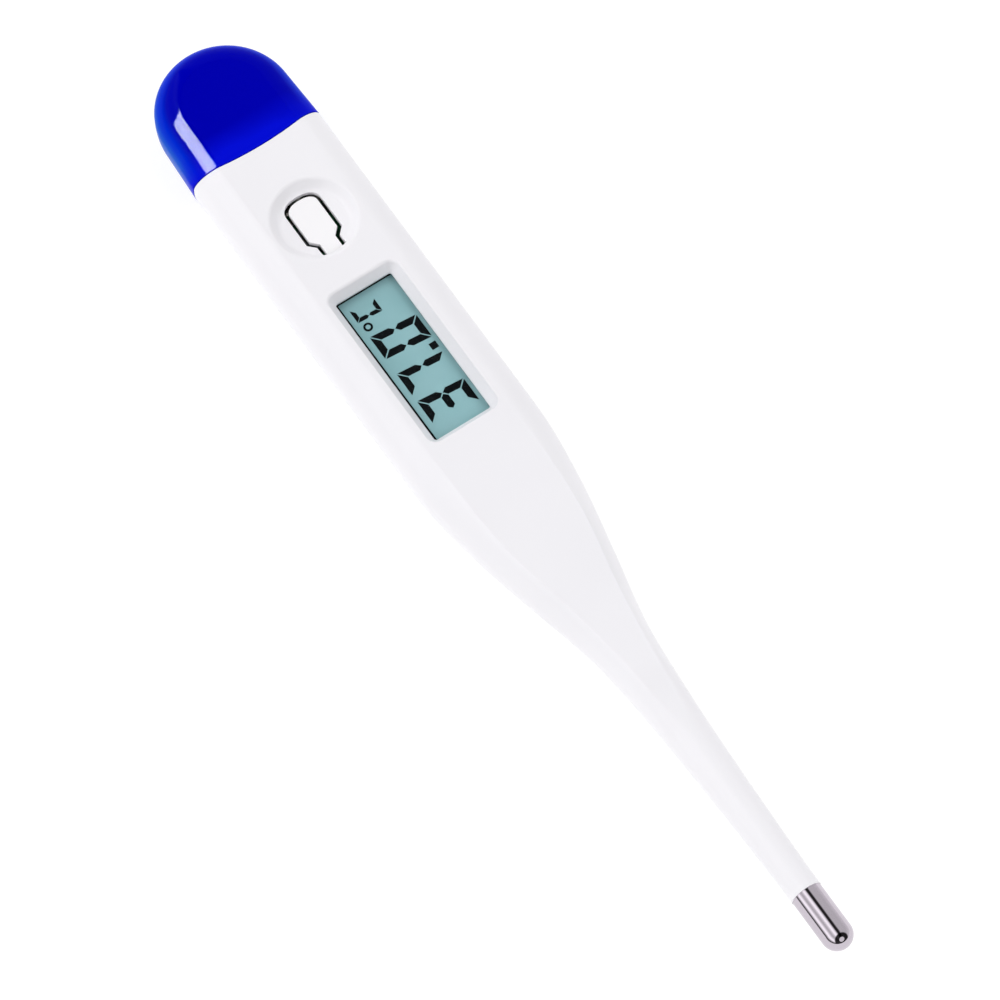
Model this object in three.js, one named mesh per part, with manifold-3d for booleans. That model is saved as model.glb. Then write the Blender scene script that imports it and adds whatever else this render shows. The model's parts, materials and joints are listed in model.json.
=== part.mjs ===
// Digital thermometer with a rigid probe, laid on its back with the display up.
// Millimetres, +Z up. Stations are distances from the round end of the battery cap, along +X,
// to the metal tip. The stick's group moves them so that the origin is under the middle.
import * as THREE from "three";
import { mergeVertices } from "three/addons/utils/BufferGeometryUtils.js";
import Module from "manifold-3d";

const wasm = await Module();
wasm.setup();

// ---- Driving dimensions ----
const LENGTH = 130;
const HEIGHT = 9.6;
const AXIS_Z = 6.5; // the body's widest line, and the axis of the probe
const HALF_WIDTH = 8.45;
const PLATEAU_HALF = 5.28; // flat top face, from the axis to its crisp edge
const SOLE_HALF = 3.8; // flat underside
const WALL = 1.35;
const ROOF = 1.6;
const CLEARANCE = 0.1;
const FILM_GAP = 0.05;

const CAP_ARC_X = 8.07; // centre and radius of the cap's round end
const CAP_HALF = 8.5; // half width that the cap widens to just past the seam
const SPLIT_X = 14.85; // middle of the seam between cap and housing
const SEAM_RADIUS = 43; // the seam is an arc seen from above, bowed towards the tip
const SPLIT_GAP = 0.2;
const PLUG_LENGTH = 3;
const PLUG_WALL = 0.68;

const SHOULDER_X = 58; // here the body starts to narrow
const TIP_X = 122.4; // here the metal tip starts
const TIP_RADIUS = 1.85;
const TIP_WALL = 0.2;
const BORE_RADIUS = 1.2;
const SPIGOT_RADIUS = 1.35;
const SPIGOT_BORE = 0.95;
const SPIGOT_LENGTH = 3.4;

const DISH_X = 25.9; // finger dish of the power button
const DISH_RADIUS = 5.3;
const DISH_FLOOR_RADIUS = 4.15;
const DISH_DEPTH = 1;
const PAD_START_X = 22.42; // the button's spring tongue: an arched pad on a narrower neck
const PAD_HALF = 2.1;
const PAD_ARCH = 1.4;
const JOG_X = 27.8; // here the pad steps in to the neck
const NECK_HALF = 1.26;
const HINGE_X = 30.65; // root of the neck
const SLOT_WIDTH = 0.4;

const VIEW_X = 45.47; // centre of the display
const VIEW_LENGTH = 19.8;
const VIEW_WIDTH = 7.3;
const VIEW_DEPTH = 1.3;
const RECESS_LENGTH = 22;
const RECESS_WIDTH = 9.6;
const VIEW_CORNER = 0.5;
const RECESS_CORNER = 1.3;

const CELL_X = 19;
const CELL_RADIUS = 3.95; // LR41 button cell
const CELL_HEIGHT = 3.6;
const WIRE_RADIUS = 0.22;

// ---- Levels of the inner stack, worked up from the chassis ----
const CHASSIS_Z = 2.3;
const CHASSIS_FLOOR = 0.4;
const FLOOR_Z = CHASSIS_Z + CHASSIS_FLOOR;
const CONTACT_THICKNESS = 0.2;
const CELL_Z = FLOOR_Z + CONTACT_THICKNESS + 2 * FILM_GAP;
const BOARD_Z = 3.6;
const BOARD_TOP_Z = 4.3;
const MOUNT_Z = BOARD_TOP_Z + FILM_GAP; // underside of what stands on the board
const FILM_THICKNESS = 0.15;
const GLASS_THICKNESS = 0.5;
const REFLECTOR_Z = 5.87;
const REAR_GLASS_Z = REFLECTOR_Z + FILM_THICKNESS + FILM_GAP;
const FRONT_GLASS_Z = REAR_GLASS_Z + GLASS_THICKNESS + FILM_GAP;
const POLARISER_Z = FRONT_GLASS_Z + GLASS_THICKNESS + FILM_GAP;
const ROOF_Z = HEIGHT - ROOF; // underside of the roof

const BOARD_START_X = 23.3;
const BOARD_END_X = 59.5;
const BOARD_HALF = 5;
const SOLDER_X = 58.5; // the leads' solder joints, between two chips
const CHIP_X = 43;

// ---- Colours ----
const finish = (color, roughness, metalness = 0, opacity = 1) =>
  new THREE.MeshStandardMaterial({ color, roughness, metalness, opacity, transparent: opacity < 1 });
const WHITE_ABS = finish(0xf2f2f5, 0.3);
const BLUE_CAP = finish(0x0a12b4, 0.15);
const STEEL = finish(0xc9c6cc, 0.2, 1);
const CLEAR = finish(0xe8f2f2, 0.05, 0, 0.35);
const LCD_TEAL = finish(0x7fa4ab, 0.4);
const LCD_GLASS = finish(0xb8ccc8, 0.08, 0, 0.5);
const BOARD_GREEN = finish(0x1f6b3a, 0.5);
const EPOXY_BLACK = finish(0x141414, 0.45);
const EPOXY_CLEAR = finish(0xd9c48e, 0.3);
const BRASS = finish(0xc9a14a, 0.35, 1);
const NICKEL = finish(0xc4c2b8, 0.3, 1);
const CERAMIC = finish(0xe9e6dc, 0.6);
const RUBBER_GREY = finish(0x6f7378, 0.8);
const CARBON = finish(0x1c1c1e, 0.9);
const CHASSIS_GREY = finish(0xd8dadb, 0.5);
const CHIP_TAN = finish(0xa88a62, 0.6);
const SEAL_BLUE = finish(0x2a3558, 0.8);
const WIRE_RED = finish(0xb3261e, 0.5);
const WIRE_WHITE = finish(0xe6e4dd, 0.5);

// ---- Solids ----

// A closed solid from a geometry: corners merged, collapsed triangles dropped, faces turned out.
function solid(geometry) {
  const bare = geometry.clone();
  bare.deleteAttribute("normal");
  bare.deleteAttribute("uv");
  const merged = mergeVertices(bare, 1e-4);
  const corners = merged.attributes.position.array;
  const index = merged.index.array;
  const corner = (i) => new THREE.Vector3().fromArray(corners, 3 * i);
  const triangles = [];
  let volume = 0;
  for (let i = 0; i < index.length; i += 3) {
    const [a, b, c] = index.slice(i, i + 3);
    if (a === b || b === c || c === a) {
      continue;
    }
    triangles.push([a, b, c]);
    volume += corner(a).dot(corner(b).cross(corner(c)));
  }
  const outward = volume > 0 ? triangles : triangles.map(([a, b, c]) => [a, c, b]);
  const mesh = new wasm.Mesh({
    numProp: 3,
    vertProperties: new Float32Array(corners),
    triVerts: new Uint32Array(outward.flat()),
  });
  return new wasm.Manifold(mesh);
}

const joined = (...solids) => solids.reduce((whole, part) => whole.add(part));
const cut = (whole, ...tools) => tools.reduce((rest, tool) => rest.subtract(tool), whole);

function piece(name, shape, material) {
  const { vertProperties, triVerts } = shape.getMesh();
  const geometry = new THREE.BufferGeometry();
  geometry.setAttribute("position", new THREE.BufferAttribute(vertProperties, 3));
  geometry.setIndex(new THREE.BufferAttribute(triVerts, 1));
  geometry.computeVertexNormals();
  const mesh = new THREE.Mesh(geometry, material);
  mesh.name = name;
  return mesh;
}

// A skin over rings with the same number of points, closed by a fan at each end.
function loft(rings) {
  const sides = rings[0].length;
  const middle = (ring) => ring.reduce((sum, p) => sum.add(p), new THREE.Vector3()).divideScalar(sides);
  const points = [...rings.flat(), middle(rings[0]), middle(rings[rings.length - 1])];
  const firstMiddle = points.length - 2;
  const lastMiddle = points.length - 1;
  const lastRing = (rings.length - 1) * sides;
  const index = [];
  for (let side = 0; side < sides; side += 1) {
    const next = (side + 1) % sides;
    for (let ring = 0; ring < lastRing; ring += sides) {
      index.push(ring + side, ring + next, ring + sides + next);
      index.push(ring + side, ring + sides + next, ring + sides + side);
    }
    index.push(firstMiddle, next, side);
    index.push(lastMiddle, lastRing + side, lastRing + next);
  }
  const geometry = new THREE.BufferGeometry().setFromPoints(points);
  geometry.setIndex(index);
  return solid(geometry);
}

function extruded(shape, z, height, curveSegments = 10) {
  const geometry = new THREE.ExtrudeGeometry(shape, { depth: height, bevelEnabled: false, curveSegments });
  return solid(geometry.translate(0, 0, z));
}

// A turned shape about a vertical axis: outline points are [radius, height].
function turned(outline, x, y = 0, segments = 32) {
  const points = outline.map(([r, z]) => new THREE.Vector2(r, z));
  const geometry = new THREE.LatheGeometry(points, segments);
  return solid(geometry.rotateX(Math.PI / 2).translate(x, y, 0));
}

// A turned shape about the probe's axis: outline points are [radius, station].
function turnedAlong(outline, segments = 24) {
  const points = outline.map(([r, x]) => new THREE.Vector2(r, x));
  const geometry = new THREE.LatheGeometry(points, segments);
  return solid(geometry.rotateZ(-Math.PI / 2).translate(0, 0, AXIS_Z));
}

function disc(radius, x, y, z, height, segments = 32) {
  return turned([[0, z], [radius, z], [radius, z + height], [0, z + height]], x, y, segments);
}

function rod(radius, from, to, segments = 24) {
  return turnedAlong([[0, from], [radius, from], [radius, to], [0, to]], segments);
}

function box(x0, x1, y0, y1, z0, z1) {
  const geometry = new THREE.BoxGeometry(x1 - x0, y1 - y0, z1 - z0);
  return solid(geometry.translate((x0 + x1) / 2, (y0 + y1) / 2, (z0 + z1) / 2));
}

function roundedRectangle(x, length, width, radius) {
  const [left, right, top] = [x - length / 2, x + length / 2, width / 2];
  const shape = new THREE.Shape();
  shape.moveTo(left + radius, -top);
  shape.lineTo(right - radius, -top);
  shape.absarc(right - radius, -top + radius, radius, -Math.PI / 2, 0);
  shape.lineTo(right, top - radius);
  shape.absarc(right - radius, top - radius, radius, 0, Math.PI / 2);
  shape.lineTo(left + radius, top);
  shape.absarc(left + radius, top - radius, radius, Math.PI / 2, Math.PI);
  shape.lineTo(left, -top + radius);
  shape.absarc(left + radius, -top + radius, radius, Math.PI, 1.5 * Math.PI);
  return shape;
}

const plate = (length, width, z, height, radius = 0.3) =>
  extruded(roundedRectangle(VIEW_X, length, width, radius), z, height, 4);

// ---- The stick's outer form ----

// A smooth line through [station, value] points, level at both ends.
function profile(points) {
  const slope = points.map((p, i) => {
    const [before, after] = [points[i - 1], points[i + 1]];
    return before && after ? (after[1] - before[1]) / (after[0] - before[0]) : 0;
  });
  return (x) => {
    if (x <= points[0][0]) {
      return points[0][1];
    }
    const i = points.findIndex((p) => p[0] >= x);
    if (i < 0) {
      return points[points.length - 1][1];
    }
    const [[x0, v0], [x1, v1]] = [points[i - 1], points[i]];
    const span = x1 - x0;
    const t = (x - x0) / span;
    const rise = v0 * (1 + 2 * t) * (1 - t) ** 2 + v1 * t * t * (3 - 2 * t);
    return rise + span * t * (1 - t) * (slope[i - 1] * (1 - t) - slope[i] * t);
  };
}

const PROBE = [[94, 2.95], [104, 2.42], [113, 2.1], [TIP_X, 1.9]];
const halfWidthAt = profile([[SHOULDER_X, HALF_WIDTH], [68, 7.45], [77, 5.7], [86, 3.8], ...PROBE]);
const depthAt = profile([[SHOULDER_X, AXIS_Z], [68, 5.95], [77, 4.75], [86, 3.55], ...PROBE]);
const plateauAt = profile(
  [[61, PLATEAU_HALF], [68, 5.1], [74, 4.45], [81, 3.05], [89, 1.76], [96, 0.9], [101, 0]],
);
const soleAt = profile([[SHOULDER_X, SOLE_HALF], [77, 2.2], [94, 0]]);
const roundnessAt = profile([[SHOULDER_X, 0], [96, 1]]);

// The outer section at a station, and the section of the hollow inside it.
function outerSection(x) {
  const half = halfWidthAt(x);
  return {
    half,
    plateau: plateauAt(x),
    sole: soleAt(x),
    top: Math.min(HEIGHT, AXIS_Z + half),
    bottom: AXIS_Z - depthAt(x),
    round: roundnessAt(x),
  };
}

function hollowSection(x) {
  const outer = outerSection(x);
  const half = Math.max(BORE_RADIUS, outer.half - WALL);
  return {
    half,
    plateau: Math.max(0, outer.plateau - 0.9),
    sole: Math.max(0, outer.sole - 0.4),
    top: Math.min(ROOF_Z, AXIS_Z + half),
    bottom: AXIS_Z - Math.max(BORE_RADIUS, depthAt(x) - WALL),
    round: outer.round,
  };
}

function shrunk(section, by) {
  return {
    ...section,
    half: section.half - by,
    plateau: section.plateau - by / 2,
    top: section.top - by,
    bottom: section.bottom + by,
  };
}

// The right half of a section, from the middle of the sole up to the middle of the plateau.
const QUARTER_STEPS = 8;
function halfOutline({ half, plateau, sole, top, bottom, round }) {
  const bevel = THREE.MathUtils.lerp(1.15, 1, round);
  const belly = THREE.MathUtils.lerp(0.83, 1, round);
  const quarter = (flat, reach, power) => (step) => {
    const angle = (step / QUARTER_STEPS) * (Math.PI / 2);
    const out = step === QUARTER_STEPS ? 0 : Math.cos(angle) ** power;
    return [flat + (half - flat) * out, AXIS_Z + reach * Math.sin(angle) ** power];
  };
  const lower = quarter(sole, bottom - AXIS_Z, belly);
  const upper = quarter(plateau, top - AXIS_Z, bevel);
  const steps = Array.from({ length: QUARTER_STEPS + 1 }, (_, i) => i);
  return [...steps.map(lower).reverse(), ...steps.slice(1).map(upper)];
}

function ringAt(x, section) {
  const right = halfOutline(section);
  const left = right.map(([y, z]) => [-y, z]).reverse();
  return [...right, ...left].map(([y, z]) => new THREE.Vector3(x, y, z));
}

const prism = (section, from, to) => loft([ringAt(from, section), ringAt(to, section)]);

// A stretch up to the split, with its end turned about a vertical axis and narrowed by the taper.
function capForm(section, to, taper = 1) {
  const outline = halfOutline(section).map(([y, z]) => [y * taper, z]);
  const closed = [[0, section.bottom], ...outline, [0, section.top]];
  const end = turned(closed, CAP_ARC_X, 0, 48).intersect(box(-1, to, -10, 10, -1, HEIGHT + 1));
  const narrow = ringAt(CAP_ARC_X, section).map(({ x, y, z }) => new THREE.Vector3(x, y * taper, z));
  return joined(end, loft([narrow, ringAt(to, section)]));
}

function stations(from, to, count) {
  return Array.from({ length: count + 1 }, (_, i) => from + ((to - from) * i) / count);
}

// All that lies on the cap's side of the seam, with the seam moved back by an amount.
function capSide(back) {
  const reach = HALF_WIDTH + 1;
  const seam = stations(-reach, reach, 24).map((y) => [SPLIT_X - back - (y * y) / (2 * SEAM_RADIUS), y]);
  const outline = [[-1, -reach], ...seam, [-1, reach]];
  return extruded(new THREE.Shape(outline.map(([x, y]) => new THREE.Vector2(x, y))), -1, HEIGHT + 2);
}

// ---- Housing ----

// Outline of the button's tongue, grown outward by an amount.
function tongueOutline(grow, rootX) {
  const pad = PAD_HALF + grow;
  const neck = NECK_HALF + grow;
  const start = PAD_START_X - grow;
  const arch = PAD_ARCH + grow;
  const jog = JOG_X + grow * 0.4;
  const squareness = 0.86;
  const curved = (value) => Math.sign(value) * Math.abs(value) ** squareness;
  const archPoints = stations(0.5, 1.5, 16).map((turn) => {
    const angle = turn * Math.PI;
    return [start + arch - arch * curved(-Math.cos(angle)), pad * curved(Math.sin(angle))];
  });
  const side = [[rootX, neck], [jog + pad - neck, neck], [jog, pad]];
  const otherSide = side.map(([x, y]) => [x, -y]).reverse();
  return new THREE.Shape([...side, ...archPoints, ...otherSide].map(([x, y]) => new THREE.Vector2(x, y)));
}

function displayRecess() {
  const above = 0.5;
  const flare = (RECESS_LENGTH - VIEW_LENGTH) / VIEW_DEPTH;
  const ring = (z, length, width, radius) =>
    roundedRectangle(VIEW_X, length, width, radius)
      .getPoints(5)
      .slice(0, -1)
      .map((p) => new THREE.Vector3(p.x, p.y, z));
  const grown = flare * above;
  const wall = loft([
    ring(HEIGHT - VIEW_DEPTH, VIEW_LENGTH, VIEW_WIDTH, VIEW_CORNER),
    ring(HEIGHT, RECESS_LENGTH, RECESS_WIDTH, RECESS_CORNER),
    ring(HEIGHT + above, RECESS_LENGTH + grown, RECESS_WIDTH + grown, RECESS_CORNER + 0.3),
  ]);
  const opening = extruded(roundedRectangle(VIEW_X, VIEW_LENGTH, VIEW_WIDTH, VIEW_CORNER), ROOF_Z - 1, 2);
  return joined(wall, opening);
}

function buttonDish() {
  const floor = HEIGHT - DISH_DEPTH;
  const slope = (DISH_RADIUS - DISH_FLOOR_RADIUS) / DISH_DEPTH;
  const above = 0.5;
  const rim = DISH_RADIUS + slope * above;
  const outline = [[0, floor], [DISH_FLOOR_RADIUS, floor], [rim, HEIGHT + above], [0, HEIGHT + above]];
  return turned(outline, DISH_X, 0, 48);
}

function housing() {
  const outerStations = [SPLIT_X - 2, ...stations(SHOULDER_X, TIP_X, 28)];
  const outer = loft(outerStations.map((x) => ringAt(x, outerSection(x))));
  const spigot = rod(SPIGOT_RADIUS, TIP_X - 1, TIP_X + SPIGOT_LENGTH);
  const hollowEnd = TIP_X - 3;
  const hollowStations = [SPLIT_X - 3, ...stations(SHOULDER_X, 100, 13), hollowEnd];
  const hollow = loft(hollowStations.map((x) => ringAt(x, hollowSection(x))));
  const bore = rod(SPIGOT_BORE, hollowEnd - 1, TIP_X + SPIGOT_LENGTH + 1);
  const slot = extruded(tongueOutline(SLOT_WIDTH / 2, HINGE_X), ROOF_Z - 0.5, 2);
  return piece(
    "housing",
    cut(joined(outer, spigot), capSide(-SPLIT_GAP / 2), hollow, bore, displayRecess(), buttonDish(), slot),
    WHITE_ABS,
  );
}

function powerButton() {
  const tongue = tongueOutline(-SLOT_WIDTH / 2, HINGE_X - CLEARANCE);
  return piece("power_button", extruded(tongue, ROOF_Z, ROOF - DISH_DEPTH), WHITE_ABS);
}

function displayWindow() {
  const top = HEIGHT - VIEW_DEPTH;
  const flangeTop = ROOF_Z - CLEARANCE;
  const flangeZ = flangeTop - 0.45;
  const flange = plate(VIEW_LENGTH + 2, VIEW_WIDTH + 2, flangeZ, flangeTop - flangeZ);
  const lift = plate(VIEW_LENGTH - 2 * CLEARANCE, VIEW_WIDTH - 2 * CLEARANCE, flangeZ, top - flangeZ, 0.4);
  return piece("display_window", joined(flange, lift), CLEAR);
}

// ---- Probe tip ----

function probeTip() {
  const nose = LENGTH - TIP_RADIUS;
  const start = TIP_X + FILM_GAP;
  const inner = TIP_RADIUS - TIP_WALL;
  const steps = [1, 2, 3, 4, 5, 6].map((i) => (i / 6) * (Math.PI / 2));
  const arc = (radius) => steps.map((a) => [radius * Math.cos(a), nose + radius * Math.sin(a)]);
  const outside = [[TIP_RADIUS, start], [TIP_RADIUS, nose], ...arc(TIP_RADIUS)];
  const inside = [[inner, start], [inner, nose], ...arc(inner)].reverse();
  return piece("probe_tip", turnedAlong([...outside, ...inside, outside[0]], 32), STEEL);
}

const BEAD_X = 127.6;

function tipEpoxy() {
  const start = TIP_X + SPIGOT_LENGTH + CLEARANCE;
  const radius = TIP_RADIUS - TIP_WALL - CLEARANCE;
  const nose = LENGTH - TIP_RADIUS;
  const hole = 0.75;
  const steps = [1, 2, 3, 4].map((i) => (i / 4) * (Math.PI / 2));
  const dome = steps.map((a) => [radius * Math.cos(a), nose + radius * Math.sin(a)]);
  const floor = BEAD_X + 0.8;
  const outline = [[0, floor], [hole, floor], [hole, start], [radius, start], [radius, nose], ...dome];
  return piece("tip_epoxy", turnedAlong(outline, 20), EPOXY_CLEAR);
}

function thermistorBead() {
  const steps = [0, 1, 2, 3, 4, 5, 6].map((i) => (i / 6) * Math.PI);
  const outline = steps.map((a) => [0.55 * Math.sin(a), BEAD_X - 0.7 * Math.cos(a)]);
  return piece("thermistor_bead", turnedAlong(outline, 16), EPOXY_BLACK);
}

// A lead runs from its solder joint through three slack bends, then straight up the probe.
const SLACK_START = 61.4;
const SLACK_END = 74;
const SLACK_SWING = 2.3;

function leadWire(name, side, material) {
  const lift = 0.34 * side;
  const bends = stations(SLACK_START, SLACK_END, 24).map((x) => {
    const t = (x - SLACK_START) / (SLACK_END - SLACK_START);
    const fade = Math.sin(Math.PI * t) ** 0.5;
    const y = SLACK_SWING * fade * Math.sin(4 * Math.PI * t);
    return new THREE.Vector3(x, y, 5.4 + lift + 1.1 * t);
  });
  const path = new THREE.CatmullRomCurve3([
    new THREE.Vector3(SOLDER_X, 1.2 * side, 5.05),
    new THREE.Vector3(SOLDER_X + 1, 1.1 * side, 5.1),
    ...bends,
    new THREE.Vector3(78, 0, AXIS_Z + lift),
    new THREE.Vector3(100, 0, AXIS_Z + lift),
    new THREE.Vector3(BEAD_X - 1, 0, AXIS_Z + lift * 0.8),
  ]);
  const section = new THREE.Shape().absarc(0, 0, WIRE_RADIUS, 0, 2 * Math.PI);
  const geometry = new THREE.ExtrudeGeometry(section, { steps: 78, curveSegments: 6, extrudePath: path });
  return piece(name, solid(geometry), material);
}

// ---- Battery cap ----

const plugSection = shrunk(hollowSection(SPLIT_X), CLEARANCE + FILM_GAP);
const plugHollow = { ...shrunk(plugSection, PLUG_WALL), sole: 4 };
const SEAL_X = SPLIT_X + 1.1;
const SEAL_WIDTH = 0.8;
const GROOVE_DEPTH = 0.4;

function batteryCap() {
  const end = SPLIT_X - SPLIT_GAP / 2;
  const wide = { ...outerSection(SPLIT_X), half: CAP_HALF };
  const outer = capForm(wide, SPLIT_X + 1, CAP_ARC_X / CAP_HALF).intersect(capSide(SPLIT_GAP / 2));
  const plug = prism(plugSection, end - 2, end + PLUG_LENGTH);
  const hollow = capForm(plugHollow, end + PLUG_LENGTH + 1);
  const grooveFloor = prism(shrunk(plugSection, GROOVE_DEPTH), SEAL_X - 1, SEAL_X + SEAL_WIDTH + 1);
  const groove = cut(box(SEAL_X, SEAL_X + SEAL_WIDTH, -9, 9, -1, 10), grooveFloor);
  return piece("battery_cap", cut(joined(outer, plug), hollow, groove), BLUE_CAP);
}

function capSeal() {
  const from = SEAL_X + CLEARANCE;
  const to = SEAL_X + SEAL_WIDTH - CLEARANCE;
  const ring = prism(shrunk(plugSection, -CLEARANCE), from, to);
  const hole = prism(shrunk(plugSection, GROOVE_DEPTH - CLEARANCE), from - 1, to + 1);
  return piece("cap_seal", cut(ring, hole), SEAL_BLUE);
}

// ---- Chassis with the board, cell and display ----

const RAIL_HALF = 5.2;
const RAIL_WIDTH = 0.6;
const CHASSIS_END_X = 60.3;

function chassisFrame() {
  const tray = 4.6;
  const floorShape = new THREE.Shape();
  floorShape.absarc(CELL_X, 0, tray, Math.PI / 2, 1.5 * Math.PI);
  floorShape.lineTo(BOARD_START_X + 0.7, -tray);
  floorShape.lineTo(BOARD_START_X + 0.7, -RAIL_HALF);
  floorShape.lineTo(CHASSIS_END_X, -RAIL_HALF);
  floorShape.lineTo(CHASSIS_END_X, RAIL_HALF);
  floorShape.lineTo(BOARD_START_X + 0.7, RAIL_HALF);
  floorShape.lineTo(BOARD_START_X + 0.7, tray);
  const floor = extruded(floorShape, CHASSIS_Z, CHASSIS_FLOOR, 16);
  const railTop = BOARD_Z - FILM_GAP;
  const rail = (y) => box(BOARD_START_X + 0.7, CHASSIS_END_X, y, y + RAIL_WIDTH, CHASSIS_Z, railTop);
  const wall = new THREE.Shape();
  wall.absarc(CELL_X, 0, tray, 0.3 * Math.PI, 1.7 * Math.PI);
  wall.absarc(CELL_X, 0, CELL_RADIUS + CLEARANCE, 1.7 * Math.PI, 0.3 * Math.PI, true);
  const cellWall = extruded(wall, CHASSIS_Z, CELL_Z + CELL_HEIGHT - 0.5 - CHASSIS_Z, 28);
  return piece(
    "chassis_frame",
    joined(floor, cellWall, rail(-RAIL_HALF), rail(RAIL_HALF - RAIL_WIDTH)),
    CHASSIS_GREY,
  );
}

function circuitBoard() {
  const board = box(BOARD_START_X, BOARD_END_X, -BOARD_HALF, BOARD_HALF, BOARD_Z, BOARD_TOP_Z);
  const cellClear = disc(CELL_RADIUS + 0.3, CELL_X, 0, BOARD_Z - 1, 3);
  return piece("circuit_board", cut(board, cellClear), BOARD_GREEN);
}

// The cell's steel can is folded in at its rim over a gasket, which holds the lid apart from it.
const LID_RADIUS = 2.95;
const RECESS_RADIUS = 3.4;

function cellPieces() {
  const top = CELL_Z + CELL_HEIGHT;
  const rim = top - 0.3;
  const seat = top - 1.3;
  const can = turned(
    [[0, CELL_Z], [CELL_RADIUS - 0.2, CELL_Z], [CELL_RADIUS, CELL_Z + 0.2], [CELL_RADIUS, rim - 0.25],
      [CELL_RADIUS - 0.25, rim], [RECESS_RADIUS, rim], [RECESS_RADIUS, seat], [0, seat]],
    CELL_X,
  );
  const low = seat + FILM_GAP;
  const gasket = turned(
    [[LID_RADIUS + FILM_GAP, low], [RECESS_RADIUS - FILM_GAP, low], [RECESS_RADIUS - FILM_GAP, rim],
      [LID_RADIUS + FILM_GAP, rim], [LID_RADIUS + FILM_GAP, low]],
    CELL_X,
  );
  const lid = turned(
    [[0, low], [LID_RADIUS, low], [LID_RADIUS, top - 0.15], [LID_RADIUS - 0.2, top], [0, top]],
    CELL_X,
  );
  return [
    piece("cell_can", can, NICKEL),
    piece("cell_gasket", gasket, EPOXY_BLACK),
    piece("cell_lid", lid, NICKEL),
  ];
}

// A contact is a bent strip. Its side view is drawn in X and Z, then given its width along Y.
function contactStrip(name, sideView, y, width) {
  const shape = new THREE.Shape(sideView.map(([x, z]) => new THREE.Vector2(x, z)));
  const geometry = new THREE.ExtrudeGeometry(shape, { depth: width, bevelEnabled: false });
  return piece(name, solid(geometry.rotateX(Math.PI / 2).translate(0, y + width, 0)), NICKEL);
}

function contacts() {
  const t = CONTACT_THICKNESS;
  const over = CELL_Z + CELL_HEIGHT + FILM_GAP;
  const start = CELL_X - 1.8;
  const leg = CELL_X + CELL_RADIUS + 0.35;
  const foot = leg + 0.95;
  const negative = contactStrip(
    "negative_contact",
    [[start, over], [leg, over], [leg, MOUNT_Z], [foot, MOUNT_Z], [foot, MOUNT_Z + t],
      [leg + t, MOUNT_Z + t], [leg + t, over + t], [start, over + t]],
    1.6,
    2,
  );
  const under = FLOOR_Z + FILM_GAP;
  const joint = BOARD_Z - FILM_GAP;
  const positive = contactStrip(
    "positive_contact",
    [[start, under], [leg + t, under], [leg + t, joint - t], [foot, joint - t], [foot, joint], [leg, joint],
      [leg, under + t], [start, under + t]],
    -3,
    2,
  );
  return [negative, positive];
}

function displayStack() {
  const opening = plate(22.5, 9.7, MOUNT_Z - 1, 5, 0.4);
  const frameTop = FRONT_GLASS_Z + GLASS_THICKNESS;
  const frame = cut(plate(24, 10.6, MOUNT_Z, frameTop - MOUNT_Z, 0.8), opening);
  const strip = (y) =>
    box(VIEW_X - 10, VIEW_X + 10, y, y + 0.8, MOUNT_Z, FRONT_GLASS_Z - FILM_GAP);
  return [
    piece("display_frame", frame, CHASSIS_GREY),
    piece("contact_strip_1", strip(-4.6), RUBBER_GREY),
    piece("contact_strip_2", strip(3.8), RUBBER_GREY),
    piece("lcd_reflector", plate(20.6, 6.8, REFLECTOR_Z, FILM_THICKNESS), LCD_TEAL),
    piece("lcd_rear_glass", plate(22.2, 7.2, REAR_GLASS_Z, GLASS_THICKNESS), LCD_GLASS),
    piece("lcd_front_glass", plate(22.2, 9.4, FRONT_GLASS_Z, GLASS_THICKNESS), LCD_GLASS),
    piece("lcd_polariser", plate(21, 8.6, POLARISER_Z, FILM_THICKNESS), LCD_TEAL),
  ];
}

function boardParts() {
  const chipHeight = 1.1;
  const arc = [0, 1, 2, 3, 4].map((i) => (i / 4) * (Math.PI / 2));
  const dome = arc.map((a) => [2.6 * Math.cos(a), MOUNT_Z + 0.2 + (chipHeight - 0.2) * Math.sin(a)]);
  const blob = turned([[0, MOUNT_Z], [2.6, MOUNT_Z], ...dome], CHIP_X, 0, 24);
  const chip = (x, y, height) => box(x - 0.4, x + 0.4, y - 0.8, y + 0.8, MOUNT_Z, MOUNT_Z + height);
  const bump = arc.map((a) => [0.5 * Math.cos(a), MOUNT_Z + 0.4 * Math.sin(a)]);
  const solder = (y) => turned([[0, MOUNT_Z], ...bump], SOLDER_X, y, 12);
  return [
    piece("controller_chip", blob, EPOXY_BLACK),
    piece("chip_capacitor", chip(SOLDER_X, 3.4, 0.7), CHIP_TAN),
    piece("chip_resistor", chip(SOLDER_X, -3.4, 0.5), EPOXY_BLACK),
    piece("solder_joint_1", solder(1.2), NICKEL),
    piece("solder_joint_2", solder(-1.2), NICKEL),
  ];
}

function buzzer() {
  const plateZ = FLOOR_Z + FILM_GAP;
  const ceramicZ = plateZ + 0.2 + FILM_GAP;
  return [
    piece("buzzer_plate", disc(4.2, VIEW_X, 0, plateZ, 0.2), BRASS),
    piece("buzzer_ceramic", disc(3, VIEW_X, 0, ceramicZ, 0.15, 24), CERAMIC),
  ];
}

// ---- Switch under the button: a rubber plunger carries a carbon pill down to pads on the board ----

const PLUNGER_RADIUS = 1.3;
const PILL_Z = MOUNT_Z + 0.45;
const PILL_HEIGHT = 0.3;

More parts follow.
